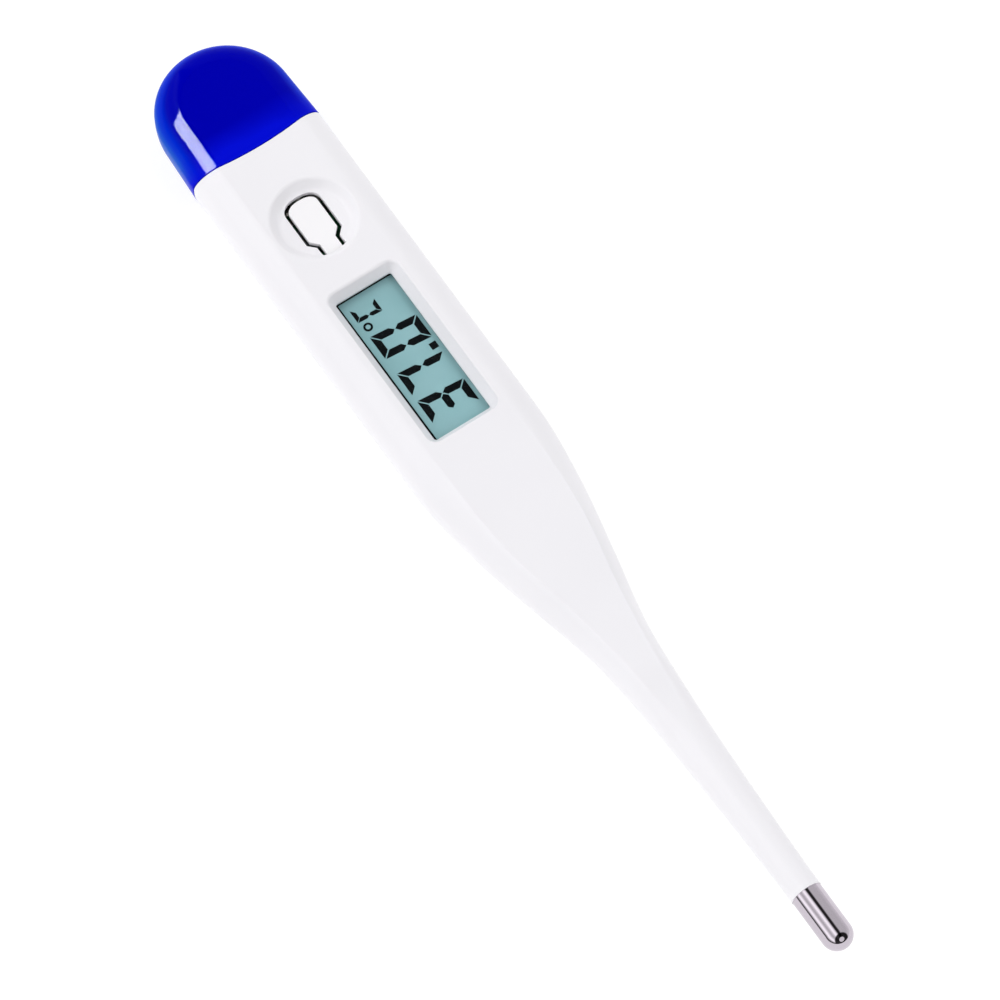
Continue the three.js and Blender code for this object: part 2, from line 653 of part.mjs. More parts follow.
function keySwitch() {
  const foot = MOUNT_Z + 0.1;
  const lip = MOUNT_Z + 1.3;
  const hole = PLUNGER_RADIUS + 0.2;
  const collar = turned(
    [[hole, foot], [2, foot], [1.8, lip], [hole, lip], [hole, foot]],
    DISH_X,
    0,
    24,
  );
  const plungerZ = PILL_Z + PILL_HEIGHT + FILM_GAP;
  const top = ROOF_Z - CLEARANCE;
  const edge = 0.3;
  const plunger = turned(
    [[0, plungerZ], [PLUNGER_RADIUS, plungerZ], [PLUNGER_RADIUS, top - edge], [PLUNGER_RADIUS - edge, top],
      [0, top]],
    DISH_X,
    0,
    24,
  );
  return [
    piece("switch_pads", disc(1.9, DISH_X, 0, BOARD_TOP_Z + 0.01, 0.05, 24), BRASS),
    piece("switch_collar", collar, RUBBER_GREY),
    piece("switch_plunger", plunger, RUBBER_GREY),
    piece("carbon_pill", disc(1.1, DISH_X, 0, PILL_Z, PILL_HEIGHT, 20), CARBON),
  ];
}

// ---- Scene ----

const stick = new THREE.Group();
stick.position.x = -LENGTH / 2;
stick.add(
  housing(),
  powerButton(),
  displayWindow(),
  probeTip(),
  tipEpoxy(),
  thermistorBead(),
  leadWire("lead_wire_1", 1, WIRE_RED),
  leadWire("lead_wire_2", -1, WIRE_WHITE),
  batteryCap(),
  capSeal(),
  chassisFrame(),
  circuitBoard(),
  ...cellPieces(),
  ...contacts(),
  ...displayStack(),
  ...boardParts(),
  ...buzzer(),
  ...keySwitch(),
);

const thermometer = new THREE.Group();
thermometer.add(stick);

export default thermometer;
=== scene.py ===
"""Looks of the digital thermometer: fine shells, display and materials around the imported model.

Shapes are drawn in millimetres in the stick's own stations, X running from the cap's round end to the metal
tip, and place() turns them into the frame's metres.
"""
import json
import math

import bmesh
import bpy
from mathutils import Matrix, Vector


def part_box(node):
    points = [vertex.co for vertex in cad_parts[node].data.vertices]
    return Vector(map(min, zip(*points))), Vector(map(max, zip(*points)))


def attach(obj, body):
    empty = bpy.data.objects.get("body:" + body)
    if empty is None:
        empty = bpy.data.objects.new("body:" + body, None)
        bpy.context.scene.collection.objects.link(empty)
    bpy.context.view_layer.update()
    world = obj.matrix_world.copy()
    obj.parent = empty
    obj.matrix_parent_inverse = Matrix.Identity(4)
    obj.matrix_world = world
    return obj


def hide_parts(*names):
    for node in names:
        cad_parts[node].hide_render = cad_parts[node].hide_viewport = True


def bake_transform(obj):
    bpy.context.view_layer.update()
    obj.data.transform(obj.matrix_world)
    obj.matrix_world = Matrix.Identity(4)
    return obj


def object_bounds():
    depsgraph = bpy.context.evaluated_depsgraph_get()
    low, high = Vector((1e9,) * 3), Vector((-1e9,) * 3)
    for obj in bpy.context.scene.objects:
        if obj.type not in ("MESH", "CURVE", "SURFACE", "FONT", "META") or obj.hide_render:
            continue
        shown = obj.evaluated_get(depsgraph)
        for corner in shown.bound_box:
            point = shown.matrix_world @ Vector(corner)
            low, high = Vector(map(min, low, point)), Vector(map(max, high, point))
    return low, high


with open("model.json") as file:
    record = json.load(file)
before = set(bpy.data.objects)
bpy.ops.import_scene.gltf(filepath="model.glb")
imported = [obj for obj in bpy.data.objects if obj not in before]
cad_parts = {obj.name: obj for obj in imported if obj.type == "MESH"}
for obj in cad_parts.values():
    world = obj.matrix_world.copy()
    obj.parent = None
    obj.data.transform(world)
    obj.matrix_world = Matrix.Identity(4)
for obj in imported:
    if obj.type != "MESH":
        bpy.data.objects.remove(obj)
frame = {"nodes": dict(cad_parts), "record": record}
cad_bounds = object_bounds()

MM = 0.001


# ---- Sizes, from the frame ----

def span(node, axis):
    """Lowest and highest place of a CAD node along an axis, in millimetres, X as a station."""
    low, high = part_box(node)
    shift = low_end if axis == 0 else 0
    return (low[axis] - shift) / MM, (high[axis] - shift) / MM


# How much nearer the tip than in the CAD a detail is drawn, to match the photo
DISPLAY_SHIFT = 0.3
DISH_SHIFT = 0.15
HINGE_SHIFT = 0.35  # from the end of the CAD's tongue, which stops 0.1 short of its slot's root

low_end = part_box("battery_cap")[0].x
TIP_START, TIP_END = span("probe_tip", 0)
TIP_RADIUS = (span("probe_tip", 1)[1] - span("probe_tip", 1)[0]) / 2
AXIS_Z = sum(span("probe_tip", 2)) / 2
HEIGHT = span("housing", 2)[1]
HALF_WIDTH = span("housing", 1)[1]
PLUG_END = span("battery_cap", 0)[1]
SPIGOT_END = span("housing", 0)[1]
WINDOW_LOW, WINDOW_TOP = span("display_window", 2)
DISPLAY_X = sum(span("display_window", 0)) / 2 + DISPLAY_SHIFT
FILM_LOW, FILM_TOP = span("lcd_polariser", 2)
TONGUE_LOW, TONGUE_TOP = span("power_button", 2)
HINGE_X = span("power_button", 0)[1] + HINGE_SHIFT
DISH_X = sum(span("switch_plunger", 0)) / 2 + DISH_SHIFT

PLATEAU_HALF = 5.28    # half width of the flat top
SOLE_HALF = 3.8        # half width of the flat underside
WALL = 1.35
SHOULDER_X = 58        # where the body starts to taper
SPLIT_X = 15.1         # the seam between cap and housing, on the centre line
SEAM_RADIUS = 43
SEAM_GAP = 0.07        # from the seam's line to each part's wall
CAP_ARC_X = 8.18       # centre of the cap's round end
CAP_HALF = 8.55

VIEW_LENGTH = 20.03    # the display's opening, at the foot of its recess
VIEW_WIDTH = 7.4
VIEW_CORNER = 0.3
RECESS_LENGTH = 21.7   # the recess at the stick's top
RECESS_WIDTH = 9.3
RECESS_CORNER = 1.25
FLARE_LENGTH = 22      # sets how fast the recess's cutter widens above the top

DISH_RIM = 5.02        # radius at the stick's top
DISH_FOOT = 4.15       # radius at the floor
SLOT_WIDTH = 0.5
PAD_END_X = 22.57      # where the tongue's pad starts to arch
PAD_HALF = 2.1
PAD_ARCH = 1.4         # how far the arch stands out
ARCH_POWER = 0.86      # below 1 makes the arch squarer than an ellipse
ARCH_STEPS = 24
JOG_X = 27.95          # where the pad narrows to the neck
NECK_HALF = 1.26


def place(x, y, z):
    """A point of the frame, in metres, from a station, a place across and a height in millimetres."""
    return Vector((low_end + x * MM, y * MM, z * MM))


# ---- Materials ----

def set_stops(ramp, stops):
    """Gives a colour ramp its places and colours."""
    elements = ramp.color_ramp.elements
    while len(elements) < len(stops):
        elements.new(1)
    for element, (position, color) in zip(elements, stops):
        element.position = position
        element.color = (*color, 1)


class Nodes:
    """A material's node tree, with short calls to add to it."""

    def __init__(self, name):
        self.material = bpy.data.materials.new(name)
        self.material.use_nodes = True
        self.tree = self.material.node_tree
        self.shader = self.tree.nodes["Principled BSDF"]
        self.position = self.add("ShaderNodeTexCoord").outputs["Object"]

    def add(self, kind, **values):
        node = self.tree.nodes.new(kind)
        for key, value in values.items():
            if key in node.inputs:
                node.inputs[key].default_value = value
            else:
                setattr(node, key, value)
        return node

    def link(self, a, b):
        self.tree.links.new(a, b)

    def set(self, **values):
        for key, value in values.items():
            self.shader.inputs[key.replace("_", " ")].default_value = value

    def noise(self, scale, detail=3, stretch=None):
        texture = self.add("ShaderNodeTexNoise", Scale=scale, Detail=detail)
        source = self.position
        if stretch:
            mapping = self.add("ShaderNodeMapping", Scale=stretch)
            self.link(source, mapping.inputs["Vector"])
            source = mapping.outputs["Vector"]
        self.link(source, texture.inputs["Vector"])
        return texture.outputs["Fac"]

    def ramps(self, source, stops):
        ramp = self.add("ShaderNodeValToRGB")
        set_stops(ramp, stops)
        self.link(source, ramp.inputs["Fac"])
        return ramp.outputs["Color"]

    def ramp(self, source, low, high, start=0.35, end=0.65):
        return self.ramps(source, [(start, low), (end, high)])

    def color(self, source, low, high, start=0.35, end=0.65):
        self.link(self.ramp(source, low, high, start, end), self.shader.inputs["Base Color"])

    def roughness(self, source, low, high):
        spread = self.add("ShaderNodeMapRange")
        spread.inputs["To Min"].default_value = low
        spread.inputs["To Max"].default_value = high
        self.link(source, spread.inputs["Value"])
        self.link(spread.outputs["Result"], self.shader.inputs["Roughness"])

    def bump(self, source, depth_mm, strength=1):
        bump = self.add("ShaderNodeBump", Strength=strength, Distance=depth_mm * MM)
        self.link(source, bump.inputs["Height"])
        self.link(bump.outputs["Normal"], self.shader.inputs["Normal"])


def white_plastic(name, scale, low, high):
    """Glossy white ABS: faint flow marks from the mould, and a fine orange peel."""
    n = Nodes(name)
    n.set(IOR=1.5, Specular_IOR_Level=0.3)
    n.color(n.noise(scale, 2), low, high)
    n.roughness(n.noise(260, 3), 0.26, 0.36)
    n.bump(n.noise(900, 2), 0.003, 0.4)
    return n.material


def blue_plastic():
    """Polished deep blue ABS, with painted light: its base colour is lighter on its steep sides and at its open end,
    standing in for light carried in the wall.
    """
    n = Nodes("blue_abs")
    n.set(
        IOR=1.5, Coat_Weight=0.05, Coat_Roughness=0.02, Specular_IOR_Level=0.005, Specular_Tint=(0.02, 0.3, 1.0, 1),
    )
    slope = n.add("ShaderNodeSeparateXYZ")
    n.link(n.add("ShaderNodeTexCoord").outputs["Normal"], slope.inputs["Vector"])
    steep = n.add("ShaderNodeMath", operation="ABSOLUTE")
    n.link(slope.outputs["Z"], steep.inputs[0])
    # Painted light: the base colour lightens as the surface turns steep, darkest on the flat top and underside
    wall = n.ramps(steep.outputs["Value"], [
        (0.10, (0.020, 0.115, 0.60)), (0.34, (0.012, 0.085, 0.60)), (0.50, (0.002, 0.040, 0.63)),
        (0.66, (0.0, 0.020, 0.60)), (0.80, (0.0, 0.001, 0.43)), (1.0, (0.0, 0.0, 0.42)),
    ])
    # Painted light: a cloudy lighter blue, mixed in over the last few millimetres before the seam
    split = n.add("ShaderNodeSeparateXYZ")
    n.link(n.position, split.inputs["Vector"])
    mouth = n.add("ShaderNodeMapRange")
    fade_start, fade_end = SPLIT_X - 4.2, SPLIT_X - 0.8
    mouth.inputs["From Min"].default_value = low_end + fade_start * MM
    mouth.inputs["From Max"].default_value = low_end + fade_end * MM
    mouth.inputs["To Max"].default_value = 2
    n.link(split.outputs["X"], mouth.inputs["Value"])
    painted_mouth_light = n.add("ShaderNodeMath", operation="MULTIPLY")
    n.link(mouth.outputs["Result"], painted_mouth_light.inputs[0])
    n.link(n.noise(110, 3), painted_mouth_light.inputs[1])
    mix = n.add("ShaderNodeMix", data_type="RGBA")
    socket = {item.identifier: item for item in mix.inputs}
    socket["B_Color"].default_value = (0.001, 0.004, 0.66, 1)
    n.link(painted_mouth_light.outputs["Value"], socket["Factor_Float"])
    n.link(wall, socket["A_Color"])
    mixed = {item.identifier: item for item in mix.outputs}["Result_Color"]
    n.link(mixed, n.shader.inputs["Base Color"])
    n.roughness(n.noise(220, 3), 0.08, 0.14)
    n.bump(n.noise(700, 2), 0.001, 0.3)
    return n.material


def polished_steel():
    """Drawn and polished stainless steel with hair-fine lines round the tube."""
    n = Nodes("polished_steel")
    n.set(Metallic=1.0, IOR=2.5)
    n.color(n.noise(4000, 4, (6, 1, 1)), (0.54, 0.49, 0.55), (0.58, 0.53, 0.59))
    n.roughness(n.noise(6000, 3, (8, 0.3, 0.3)), 0.04, 0.08)
    n.bump(n.noise(9000, 3, (8, 0.2, 0.2)), 0.0005, 0.2)
    return n.material


def clear_plastic():
    """The window: almost nothing but its gloss shows."""
    n = Nodes("clear_acrylic")
    n.set(IOR=1.49, Alpha=0.015)
    n.color(n.noise(200, 2), (0.10, 0.12, 0.12), (0.14, 0.16, 0.16))
    n.roughness(n.noise(400, 2), 0.02, 0.05)
    return n.material


def display_film():
    """Grey-teal reflective display: soft clouding and the fine grain of the reflector."""
    n = Nodes("display_film")
    n.set(IOR=1.45, Specular_IOR_Level=0.05)
    n.color(n.noise(170, 4), (0.275, 0.500, 0.530), (0.315, 0.540, 0.575), 0.3, 0.7)
    n.roughness(n.noise(3000, 2), 0.35, 0.5)
    n.bump(n.noise(5000, 2), 0.002, 0.3)
    return n.material


def ink_and_painted_shadow():
    """The display's dark segments, and the painted shadow strips along two edges of its film."""
    n = Nodes("ink_and_painted_shadow")
    n.set(Specular_IOR_Level=0.02)
    n.color(n.noise(600, 2), (0.001, 0.002, 0.003), (0.003, 0.004, 0.005))
    n.roughness(n.noise(900, 2), 0.4, 0.55)
    return n.material


def plain(name, low, high, rough, scale=300, grain=0.004, metallic=0.0, alpha=1.0, stretch=None):
    """A material of the inside: two close colours, uneven roughness and a light grain."""
    n = Nodes(name)
    n.set(Metallic=metallic, Alpha=alpha)
    n.color(n.noise(scale, 4, stretch), low, high)
    n.roughness(n.noise(scale * 2, 3, stretch), rough * 0.8, rough * 1.2)
    n.bump(n.noise(scale * 5, 3, stretch), grain, 0.5)
    return n.material


def board_laminate():
    """Green solder resist over a faint grid of copper tracks."""
    n = Nodes("board_laminate")
    tracks = n.add("ShaderNodeTexBrick", Scale=420)
    tracks.inputs["Color1"].default_value = (0.012, 0.115, 0.042, 1)
    tracks.inputs["Color2"].default_value = (0.016, 0.150, 0.055, 1)
    tracks.inputs["Mortar"].default_value = (0.030, 0.220, 0.080, 1)
    n.link(n.position, tracks.inputs["Vector"])
    n.link(tracks.outputs["Color"], n.shader.inputs["Base Color"])
    n.roughness(n.noise(500, 3), 0.3, 0.45)
    n.bump(tracks.outputs["Fac"], 0.02, 0.4)
    return n.material


MATERIALS = {
    "white_plastic": white_plastic("white_abs", 45, (0.888, 0.877, 0.912), (0.910, 0.899, 0.932)),
    "button": white_plastic("button_abs", 60, (0.930, 0.920, 0.940), (0.950, 0.940, 0.960)),
    "blue_plastic": blue_plastic(),
    "steel_tip": polished_steel(),
    "clear_window": clear_plastic(),
    "display_film": display_film(),
    "ink": ink_and_painted_shadow(),
    "board_laminate": board_laminate(),
    "display_glass": plain("display_glass", (0.60, 0.72, 0.70), (0.66, 0.76, 0.74), 0.06, alpha=0.3),
    "epoxy": plain("epoxy_amber", (0.55, 0.40, 0.14), (0.66, 0.50, 0.20), 0.3),
    "black_epoxy": plain("epoxy_black", (0.008, 0.008, 0.008), (0.018, 0.018, 0.017), 0.45, grain=0.02),
    "red_insulation": plain("wire_red", (0.42, 0.02, 0.015), (0.50, 0.03, 0.02), 0.4),
    "white_insulation": plain("wire_white", (0.70, 0.68, 0.62), (0.78, 0.76, 0.70), 0.4),
    "seal_rubber": plain("seal_silicone", (0.030, 0.045, 0.110), (0.045, 0.060, 0.140), 0.7, grain=0.01),
    "grey_plastic": plain("grey_abs", (0.58, 0.59, 0.60), (0.64, 0.65, 0.66), 0.5, grain=0.012),
    "nickel": plain(
        "nickel_plate", (0.60, 0.58, 0.53), (0.72, 0.70, 0.64), 0.25, 400, metallic=1.0, stretch=(1, 6, 1)
    ),
    "grey_rubber": plain("silicone_grey", (0.13, 0.14, 0.15), (0.17, 0.18, 0.19), 0.75, grain=0.01),
    "chip_body": plain("chip_ceramic", (0.32, 0.21, 0.11), (0.40, 0.27, 0.15), 0.5),
    "brass": plain("brass", (0.58, 0.37, 0.11), (0.68, 0.46, 0.16), 0.3, 400, metallic=1.0, stretch=(1, 5, 1)),
    "ceramic": plain("piezo_ceramic", (0.74, 0.71, 0.64), (0.82, 0.79, 0.73), 0.5, grain=0.01),
    "carbon": plain("carbon_rubber", (0.010, 0.010, 0.011), (0.020, 0.020, 0.021), 0.8, grain=0.015),
}


# ---- Mesh work ----

def build(name, points, faces):
    """A mesh object from millimetre points, with doubled corners merged and faces turned out."""
    mesh = bpy.data.meshes.new(name)
    mesh.from_pydata([place(*p) for p in points], [], faces)
    work = bmesh.new()
    work.from_mesh(mesh)
    bmesh.ops.remove_doubles(work, verts=work.verts, dist=1e-7)
    bmesh.ops.dissolve_degenerate(work, edges=work.edges, dist=1e-8)
    bmesh.ops.recalc_face_normals(work, faces=work.faces)
    if work.calc_volume(signed=True) < 0:
        bmesh.ops.reverse_faces(work, faces=work.faces)
    work.to_mesh(mesh)
    work.free()
    made = bpy.data.objects.new(name, mesh)
    bpy.context.scene.collection.objects.link(made)
    return made


def loft(name, rings):
    """A skin over rings of equal length, closed by a flat face at each end."""
    sides = len(rings[0])
    points = [p for ring in rings for p in ring]
    last = (len(rings) - 1) * sides
    faces = []
    for start in range(0, last, sides):
        for i in range(sides):
            j = (i + 1) % sides
            faces.append((start + i, start + j, start + sides + j, start + sides + i))
    faces.append(tuple(range(sides)))
    faces.append(tuple(range(last, last + sides)))
    return build(name, points, faces)


def turned(name, outline, x, y=0.0, segments=96):
    """Radius and height points turned about a vertical axis."""
    rings = []
    for i in range(segments):
        angle = 2 * math.pi * i / segments
        rings.append([(x + r * math.cos(angle), y + r * math.sin(angle), z) for r, z in outline])
    return wrap(name, rings)


def turned_along(name, outline, segments=96):
    """Radius and station points turned about the probe's axis."""
    rings = []
    for i in range(segments):
        angle = 2 * math.pi * i / segments
        rings.append([(x, r * math.cos(angle), AXIS_Z + r * math.sin(angle)) for r, x in outline])
    return wrap(name, rings)


def wrap(name, rings):
    """A closed turn of open outlines, whose ends lie on the axis or on each other."""
    count = len(rings[0])
    points = [p for ring in rings for p in ring]
    faces = []
    for i in range(len(rings)):
        j = (i + 1) % len(rings)
        for k in range(count - 1):
            faces.append((i * count + k, j * count + k, j * count + k + 1, i * count + k + 1))
    return build(name, points, faces)


def slab(name, outline, low, high):
    """An XY outline given height."""
    return loft(name, [[(x, y, low) for x, y in outline], [(x, y, high) for x, y in outline]])


def boolean(target, operation, *tools):
    """Applies an exact boolean with each tool in turn, and uses the tools up."""
    for tool in tools:
        modifier = target.modifiers.new("cut", "BOOLEAN")
        modifier.operation = operation
        modifier.solver = "EXACT"
        modifier.object = tool
        depsgraph = bpy.context.evaluated_depsgraph_get()
        result = bpy.data.meshes.new_from_object(target.evaluated_get(depsgraph))
        target.modifiers.clear()
        target.data = result
        bpy.data.objects.remove(tool)
    return target


def round_edges(target, width, angle=25, segments=3, only=None):
    """Rounds the edges sharper than an angle, where only() holds for the edge's two ends in millimetres."""
    work = bmesh.new()
    work.from_mesh(target.data)
    bmesh.ops.remove_doubles(work, verts=work.verts, dist=2e-7)
    chosen = []
    for edge in work.edges:
        if len(edge.link_faces) == 2 and edge.is_convex and edge.calc_face_angle(0) > math.radians(angle):
            ends = [((v.co.x - low_end) / MM, v.co.y / MM, v.co.z / MM) for v in edge.verts]
            if only is None or only(*ends):
                chosen.append(edge)
    bmesh.ops.bevel(
        work, geom=chosen, offset=width * MM, segments=segments, profile=0.5, affect="EDGES",
        clamp_overlap=True, harden_normals=False,
    )
    work.to_mesh(target.data)
    work.free()
    return target


def smooth(target, angle=35):
    """Smooth faces, with large flat ones kept flat by weighted normals."""
    target.data.polygons.foreach_set("use_smooth", [True] * len(target.data.polygons))
    target.data.set_sharp_from_angle(angle=math.radians(angle))
    weighted = target.modifiers.new("normals", "WEIGHTED_NORMAL")
    weighted.keep_sharp = True
    weighted.weight = 90
    return target


def finished(target, body, slot, replaces=(), material=None):
    """Gives a piece its body and its slot's material, and hides the CAD nodes it stands for."""
    target.data.materials.clear()
    target.data.materials.append(MATERIALS[material or slot])
    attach(target, body)
    if replaces:
        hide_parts(*replaces)
    return target


# ---- The stick's form ----

def profile(points):
    """A smooth line through (station, value) points, level at both ends."""
    slopes = [0.0]
    for before, after in zip(points, points[2:]):
        slopes.append((after[1] - before[1]) / (after[0] - before[0]))
    slopes.append(0.0)

    def at(x):
        if x <= points[0][0]:
            return points[0][1]
        for i in range(1, len(points)):
            if x <= points[i][0]:
                (x0, v0), (x1, v1) = points[i - 1], points[i]
                t = (x - x0) / (x1 - x0)
                rise = v0 * (1 + 2 * t) * (1 - t) ** 2 + v1 * t * t * (3 - 2 * t)
                return rise + (x1 - x0) * t * (1 - t) * (slopes[i - 1] * (1 - t) - slopes[i] * t)
        return points[-1][1]

    return at


def seam_x(y):
    """Station of the bowed seam between cap and housing, at a place across the stick."""
    return SPLIT_X - y * y / (2 * SEAM_RADIUS)


PROBE = [(94, 2.95), (104, 2.42), (113, 2.1), (TIP_START, 1.9)]
half_width_at = profile([(SHOULDER_X, HALF_WIDTH), (68, 7.45), (77, 5.7), (86, 3.8), *PROBE])
depth_at = profile([(SHOULDER_X, AXIS_Z), (68, 5.95), (77, 4.75), (86, 3.55), *PROBE])
plateau_at = profile([(61, PLATEAU_HALF), (68, 5.1), (74, 4.45), (81, 3.05), (89, 1.76), (96, 0.9), (101, 0)])
sole_at = profile([(SHOULDER_X, SOLE_HALF), (77, 2.2), (94, 0)])
roundness_at = profile([(SHOULDER_X, 0), (96, 1)])
bevel_at = profile([(54, 1.18), (68, 1.5), (84, 1.45), (98, 1.0)])


def outer_section(x):
    """What half_outline() needs to draw the stick's outside at a station."""
    half = half_width_at(x)
    return {
        "half": half, "plateau": plateau_at(x), "sole": sole_at(x), "top": min(HEIGHT, AXIS_Z + half),
        "bottom": AXIS_Z - depth_at(x), "bevel": bevel_at(x), "belly": 0.83 + 0.17 * roundness_at(x),
    }


def hollow_section(x):
    """The same for the inside of the wall."""
    outer = outer_section(x)
    half = max(1.2, outer["half"] - WALL)
    return {
        **outer, "half": half, "plateau": max(0, outer["plateau"] - 0.9), "sole": max(0, outer["sole"] - 0.4),
        "top": min(TONGUE_LOW, AXIS_Z + half), "bottom": AXIS_Z - max(1.2, depth_at(x) - WALL), "bevel": 1.15,
    }


def shrunk(section, by):
    """A section moved in all round by an amount."""
    return {
        **section, "half": section["half"] - by, "plateau": section["plateau"] - by / 2,
        "top": section["top"] - by, "bottom": section["bottom"] + by,
    }


def half_outline(section, steps=22):
    """The right half of a section, from the sole's edge round to the plateau's edge."""
    def quarter(flat, reach, power, step):
        angle = step / steps * math.pi / 2
        out = 0 if step == steps else math.cos(angle) ** power
        return flat + (section["half"] - flat) * out, AXIS_Z + reach * math.sin(angle) ** power

    down, up = section["bottom"] - AXIS_Z, section["top"] - AXIS_Z
    lower = [quarter(section["sole"], down, section["belly"], i) for i in range(steps, -1, -1)]
    upper = [quarter(section["plateau"], up, section["bevel"], i) for i in range(1, steps + 1)]
    return lower + upper


def ring_at(x, section):
    right = half_outline(section)
    return [(x, y, z) for y, z in right] + [(x, -y, z) for y, z in reversed(right)]


def prism(name, section, start, end):
    return loft(name, [ring_at(start, section), ring_at(end, section)])


def cap_form(name, section, end, taper=1, arc_steps=56):
    """The half outline carried round the cap's end: along one side, round the narrower arc, back along the other."""
    outline = [(0, section["bottom"]), *half_outline(section), (0, section["top"])]
    runs = [[(end, r, z) for r, z in outline]]
    for i in range(arc_steps + 1):
        angle = math.pi / 2 + math.pi * i / arc_steps
        c, s = taper * math.cos(angle), taper * math.sin(angle)
        runs.append([(CAP_ARC_X + r * c, r * s, z) for r, z in outline])
    runs.append([(end, -r, z) for r, z in outline])
    count = len(outline)
    points = [p for run in runs for p in run]
    faces = []
    for i in range(len(runs) - 1):
        for k in range(count - 1):
            faces.append((i * count + k, (i + 1) * count + k, (i + 1) * count + k + 1, i * count + k + 1))
    last = (len(runs) - 1) * count
    faces.append(tuple(range(1, count - 1)) + tuple(range(last + count - 2, last, -1)))
    return build(name, points, faces)


def stations(start, end, count):
    return [start + (end - start) * i / count for i in range(count + 1)]


def cap_side(back):
    """All that lies on the cap's side of the seam, with the seam moved back by an amount."""
    seam = [(seam_x(y) - back, y) for y in stations(-9.5, 9.5, 76)]
    return slab("cap_side", [(-1, -9.5), *seam, (-1, 9.5)], -1, HEIGHT + 1)


def on_seam(back):
    """Tells whether an edge's two ends both lie on the seam's wall."""
    return lambda *ends: all(abs(x - seam_x(y) + back) < 0.012 for x, y, z in ends)


def rounded_rectangle(x, length, width, radius, steps=10):
    """An outline centred at a station, turning left."""
    outline = []
    for cx, cy, turn in ((1, -1, -0.5), (1, 1, 0), (-1, 1, 0.5), (-1, -1, 1)):
        for i in range(steps + 1):
            angle = math.pi * (turn + 0.5 * i / steps)
            outline.append((
                x + cx * (length / 2 - radius) + radius * math.cos(angle),
                cy * (width / 2 - radius) + radius * math.sin(angle),
            ))
    return outline


# ---- Housing, button and window ----

def tongue_outline(grow, root):
    """The tongue seen from above, grown outward: an arched pad, a jog on each side and a narrower neck."""
    pad = PAD_HALF + grow
    neck = NECK_HALF + grow
    end = PAD_END_X - grow
    arch = PAD_ARCH + grow
    jog = JOG_X + grow * 0.4
    right = [(root, neck), (jog + pad - neck, neck), (jog, pad)]
    cap = []
    for i in range(ARCH_STEPS + 1):
        angle = math.pi / 2 + math.pi * i / ARCH_STEPS
        c, s = math.cos(angle), math.sin(angle)
        cap.append((end + arch - arch * abs(c) ** ARCH_POWER, pad * math.copysign(abs(s) ** ARCH_POWER, s)))
    left = [(x, -y) for x, y in reversed(right)]
    return right + cap + left


def display_recess():
    """The cutter for the display: straight through the window's place, then flaring to the top."""
    flare = (FLARE_LENGTH - VIEW_LENGTH) / (HEIGHT - WINDOW_TOP)
    levels = [
        (WINDOW_LOW - 0.5, VIEW_LENGTH, VIEW_WIDTH, VIEW_CORNER),
        (WINDOW_TOP, VIEW_LENGTH, VIEW_WIDTH, VIEW_CORNER),
        (HEIGHT, RECESS_LENGTH, RECESS_WIDTH, RECESS_CORNER),
        (HEIGHT + 0.5, RECESS_LENGTH + flare, RECESS_WIDTH + flare, 1.5),
    ]
    return loft("recess", [[(x, y, z) for x, y in rounded_rectangle(DISPLAY_X, *size)] for z, *size in levels])


def button_dish():
    """The cutter for the round finger dish, with a fillet at its foot."""
    floor, foot = TONGUE_TOP, DISH_FOOT
    fillet = [
        (foot - 0.55, floor), (foot - 0.3, floor + 0.02), (foot - 0.1, floor + 0.09), (foot + 0.1, floor + 0.22),
    ]
    wall = [(DISH_RIM, HEIGHT), (DISH_RIM + 0.45, HEIGHT + 0.5), (0, HEIGHT + 0.5)]
    return turned("dish", [(0, floor), *fillet, *wall], DISH_X, segments=128)


def housing_shell():
    """Body and probe in one hollow moulding, with the dish, the slot and the display's recess cut in."""
    body = [SPLIT_X - 2, *stations(SHOULDER_X - 4, TIP_START, 96)]
    shell = loft("housing_shell", [ring_at(x, outer_section(x)) for x in body])
    spigot_radius, bore_radius = 1.35, 0.95
    root = TIP_START - 1
    spigot = turned_along("spigot", [(0, root), (spigot_radius, root), (spigot_radius, SPIGOT_END), (0, SPIGOT_END)])
    hollow_end = TIP_START - 3
    inside = [SPLIT_X - 3, *stations(SHOULDER_X, 100, 26), hollow_end]
    hollow = loft("hollow", [ring_at(x, hollow_section(x)) for x in inside])
    near, far = hollow_end - 1, SPIGOT_END + 1
    bore = turned_along("bore", [(0, near), (bore_radius, near), (bore_radius, far), (0, far)])
    slot = slab("slot", tongue_outline(SLOT_WIDTH / 2, HINGE_X), TONGUE_LOW - 0.5, TONGUE_TOP + 0.4)
    boolean(shell, "UNION", spigot)
    boolean(shell, "DIFFERENCE", cap_side(-SEAM_GAP), hollow, bore, display_recess(), button_dish(), slot)

    def on_top(a, b):
        return min(a[2], b[2]) > HEIGHT - 0.01 and max(a[0], b[0]) < SHOULDER_X - 4.5

    def on_slot(a, b):
        level = abs(a[2] - TONGUE_TOP) < 0.01 and abs(b[2] - TONGUE_TOP) < 0.01
        return level and min(a[0], b[0]) < HINGE_X - 0.02 and math.hypot(a[0] - DISH_X, a[1]) < 4.4

    round_edges(shell, 0.26, 20, 5, lambda a, b: on_top(a, b) and min(a[0], b[0]) > SPLIT_X + 0.3)
    round_edges(shell, 0.045, 40, 2, on_slot)
    round_edges(shell, 0.08, 40, 3, on_seam(-SEAM_GAP))
    smooth(shell, 30)
    return finished(shell, "housing", "white_plastic", ["housing"])


def power_button():
    """The tongue, on the button's body, joined to the dish's floor at its root."""
    outline = tongue_outline(-SLOT_WIDTH / 2, HINGE_X + 0.1)
    tongue = slab("power_button_tongue", outline, TONGUE_LOW, TONGUE_TOP)

    def free(a, b):
        return max(a[0], b[0]) < HINGE_X and min(a[2], b[2]) > TONGUE_TOP - 0.01

    round_edges(tongue, 0.05, 40, 3, free)
    smooth(tongue, 30)
    return finished(tongue, "button", "white_plastic", ["power_button"], "button")


